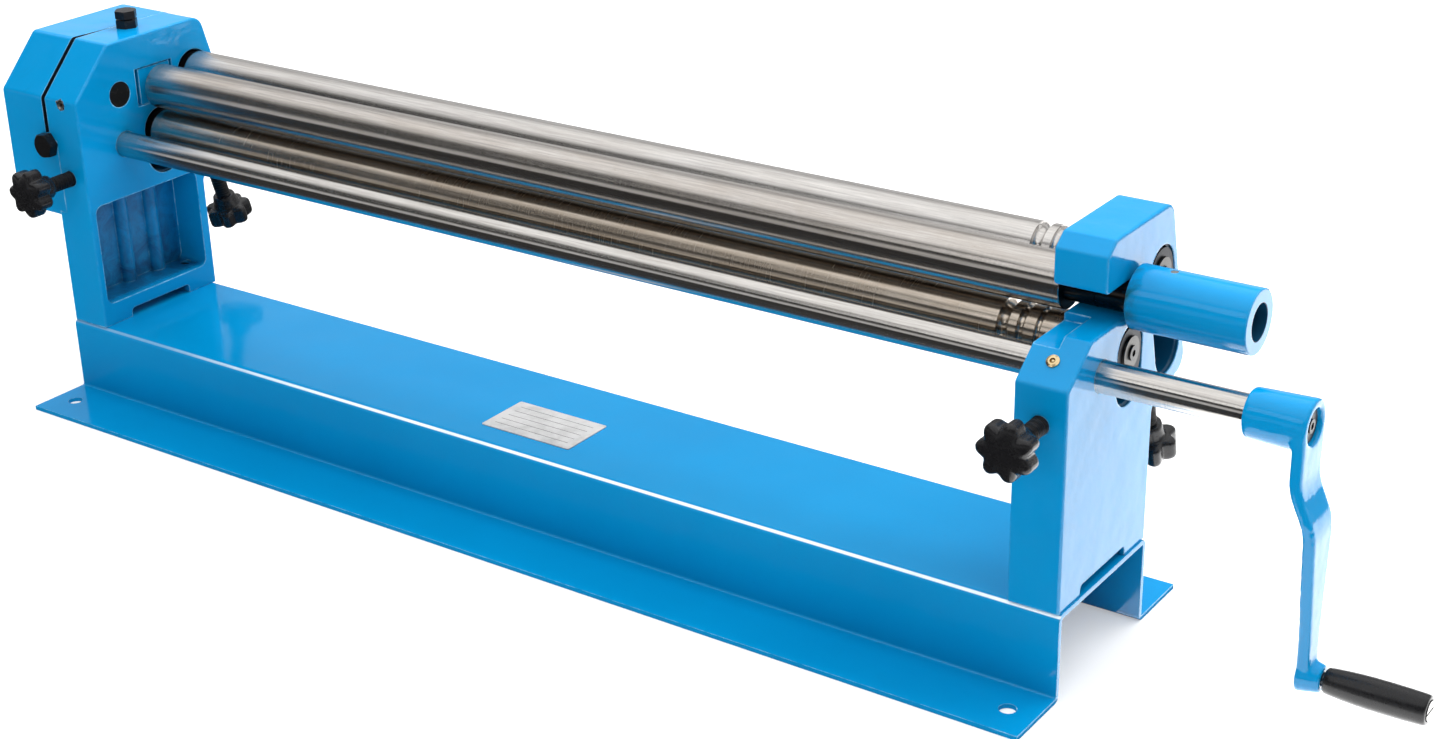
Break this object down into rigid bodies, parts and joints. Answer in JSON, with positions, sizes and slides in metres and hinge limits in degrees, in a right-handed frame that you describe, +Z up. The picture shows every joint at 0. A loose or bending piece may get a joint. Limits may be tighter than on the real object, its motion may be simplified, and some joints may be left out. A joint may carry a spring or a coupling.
{
  "type": "slip roll machine",
  "caption": "Bench slip roll for sheet metal: steel rolls between blue castings on a bent base, turned by a side crank, with star knob adjusters.",
  "frame": {"origin": "middle of the four bench bolt holes, on the underside of the base flanges", "axes": "+X along the rolls to the crank, +Y to the rear forming roll, +Z up"},
  "size_m": [1.4164, 0.2824, 0.3679],
  "materials": {
    "blue_paint": "gloss",
    "ground_steel": "satin",
    "black_steel": "satin",
    "plain_steel": "satin",
    "block_iron": "satin",
    "bronze": "satin",
    "brass": "gloss",
    "black_plastic": "gloss",
    "plate_aluminium": "satin",
    "bright_steel": "gloss"
  },
  "bodies": {
    "frame": {"base_channel": "blue_paint", "left_frame": "blue_paint", "right_frame": "blue_paint", "gear_cover": "blue_paint", "cover_bolt": "black_steel", "cover_screws": "black_steel", "frame_bolts": "black_steel", "frame_washers": "plain_steel", "data_plate": "plate_aluminium", "ball_oiler": "brass", "oil_plug": "plain_steel", "idler_pin": "black_steel", "idler_clip": "plain_steel", "idler_spacer": "plain_steel", "pivot_bolt": "black_steel", "pivot_nut": "black_steel"},
    "crank": {"drive_shaft": "ground_steel", "drive_pinion": "plain_steel", "shaft_keys": "plain_steel", "pinion_washer": "plain_steel", "pinion_screw": "black_steel", "crank_arm": "blue_paint", "crank_washer": "plain_steel", "crank_screw": "black_steel", "grip_pin": "bright_steel"},
    "grip": {"crank_grip": "black_plastic"},
    "idler": {"idler_gear": "plain_steel"},
    "swivel": {"swivel_block": "blue_paint"},
    "upper_roll_group": {"upper_roll": "ground_steel", "upper_gear": "plain_steel", "upper_key": "plain_steel", "upper_gear_washer": "plain_steel", "upper_gear_screw": "black_steel", "lift_handle": "blue_paint", "handle_pin": "plain_steel"},
    "lower_carriage": {"lower_block_left": "block_iron", "lower_block_right": "block_iron"},
    "lower_sleeves": {"lower_bushes": "bronze"},
    "lower_roll_group": {"lower_roll": "ground_steel", "lower_gear": "plain_steel", "lower_key": "plain_steel", "lower_gear_washer": "plain_steel", "lower_gear_screw": "black_steel", "lower_end_washer": "plain_steel", "lower_end_screw": "black_steel"},
    "rear_carriage": {"rear_block_left": "block_iron", "rear_block_right": "block_iron"},
    "rear_roll_group": {"rear_roll": "ground_steel", "rear_end_washer": "plain_steel", "rear_end_screw": "black_steel"},
    "front_screw_left_body": {"front_screw_left": "black_steel"},
    "front_screw_right_body": {"front_screw_right": "black_steel"},
    "rear_screw_left_body": {"rear_screw_left": "black_steel"},
    "rear_screw_right_body": {"rear_screw_right": "black_steel"},
    "front_knob_left_body": {"front_knob_left": "black_plastic"},
    "front_knob_right_body": {"front_knob_right": "black_plastic"},
    "rear_knob_left_body": {"rear_knob_left": "black_plastic"},
    "rear_knob_right_body": {"rear_knob_right": "black_plastic"}
  },
  "joints": [
    {"name": "crank_turn", "type": "hinge", "parent": "frame", "child": "crank", "pos_m": [0.6, -0.0185, 0.2495], "axis": [1, 0, 0], "continuous": true},
    {"name": "grip_spin", "type": "hinge", "parent": "crank", "child": "grip", "pos_m": [0.77, -0.0185, 0.054], "axis": [1, 0, 0], "continuous": true},
    {"name": "idler_turn", "type": "hinge", "parent": "frame", "child": "idler", "pos_m": [-0.5675, -0.0185, 0.2995], "axis": [1, 0, 0], "continuous": true},
    {"name": "upper_roll_swing", "type": "hinge", "parent": "frame", "child": "swivel", "pos_m": [-0.532, 0.028, 0.2975], "axis": [0, 0, -1], "range_deg": [0, 8]},
    {"name": "upper_roll_turn", "type": "hinge", "parent": "swivel", "child": "upper_roll_group", "pos_m": [0, 0.028, 0.2975], "axis": [1, 0, 0], "continuous": true},
    {"name": "lower_roll_lift", "type": "slide", "parent": "frame", "child": "lower_carriage", "axis": [0, 0, 1], "range_m": [-0.01, 0.001]},
    {"name": "lower_mesh_follow", "type": "hinge", "parent": "lower_carriage", "child": "lower_sleeves", "pos_m": [0, 0.028, 0.2515], "axis": [1, 0, 0], "range_deg": [-30, 5]},
    {"name": "lower_roll_turn", "type": "hinge", "parent": "lower_sleeves", "child": "lower_roll_group", "pos_m": [0, 0.028, 0.2515], "axis": [1, 0, 0], "continuous": true},
    {"name": "rear_roll_lift", "type": "slide", "parent": "frame", "child": "rear_carriage", "axis": [0, 0.2588, -0.9659], "range_m": [0, 0.05]},
    {"name": "rear_roll_turn", "type": "hinge", "parent": "rear_carriage", "child": "rear_roll_group", "pos_m": [0, 0.078, 0.298], "axis": [1, 0, 0], "continuous": true},
    {"name": "front_screw_left_travel", "type": "slide", "parent": "frame", "child": "front_screw_left_body", "axis": [0, 1, 0], "range_m": [-0.01, 0.001]},
    {"name": "front_knob_left_turn", "type": "hinge", "parent": "front_screw_left_body", "child": "front_knob_left_body", "pos_m": [-0.52175, -0.122, 0.226], "axis": [0, 1, 0], "range_deg": [-1801, 181]},
    {"name": "rear_screw_left_travel", "type": "slide", "parent": "frame", "child": "rear_screw_left_body", "axis": [0, 0.2588, -0.9659], "range_m": [0, 0.05]},
    {"name": "rear_knob_left_turn", "type": "hinge", "parent": "rear_screw_left_body", "child": "rear_knob_left_body", "pos_m": [-0.52175, 0.12252, 0.13186], "axis": [0, 0.2588, -0.9659], "range_deg": [-1, 9001]},
    {"name": "front_screw_right_travel", "type": "slide", "parent": "frame", "child": "front_screw_right_body", "axis": [0, 1, 0], "range_m": [-0.01, 0.001]},
    {"name": "front_knob_right_turn", "type": "hinge", "parent": "front_screw_right_body", "child": "front_knob_right_body", "pos_m": [0.52175, -0.122, 0.226], "axis": [0, 1, 0], "range_deg": [-1801, 181]},
    {"name": "rear_screw_right_travel", "type": "slide", "parent": "frame", "child": "rear_screw_right_body", "axis": [0, 0.2588, -0.9659], "range_m": [0, 0.05]},
    {"name": "rear_knob_right_turn", "type": "hinge", "parent": "rear_screw_right_body", "child": "rear_knob_right_body", "pos_m": [0.52175, 0.12252, 0.13186], "axis": [0, 0.2588, -0.9659], "range_deg": [-1, 9001]}
  ],
  "couplings": [
    {"joint": "idler_turn", "follows": "crank_turn", "ratio": -1},
    {"joint": "upper_roll_turn", "follows": "crank_turn", "ratio": 1.1765},
    {"joint": "lower_roll_turn", "follows": "crank_turn", "ratio": -1.1765},
    {"joint": "lower_mesh_follow", "follows": "lower_roll_lift", "rad_per_m": 46.6},
    {"joint": "front_screw_left_travel", "follows": "lower_roll_lift", "ratio": 1},
    {"joint": "front_knob_left_turn", "follows": "lower_roll_lift", "rad_per_m": 3141.6},
    {"joint": "rear_screw_left_travel", "follows": "rear_roll_lift", "ratio": 1},
    {"joint": "rear_knob_left_turn", "follows": "rear_roll_lift", "rad_per_m": 3141.6},
    {"joint": "front_screw_right_travel", "follows": "lower_roll_lift", "ratio": 1},
    {"joint": "front_knob_right_turn", "follows": "lower_roll_lift", "rad_per_m": 3141.6},
    {"joint": "rear_screw_right_travel", "follows": "rear_roll_lift", "ratio": 1},
    {"joint": "rear_knob_right_turn", "follows": "rear_roll_lift", "rad_per_m": 3141.6}
  ]
}
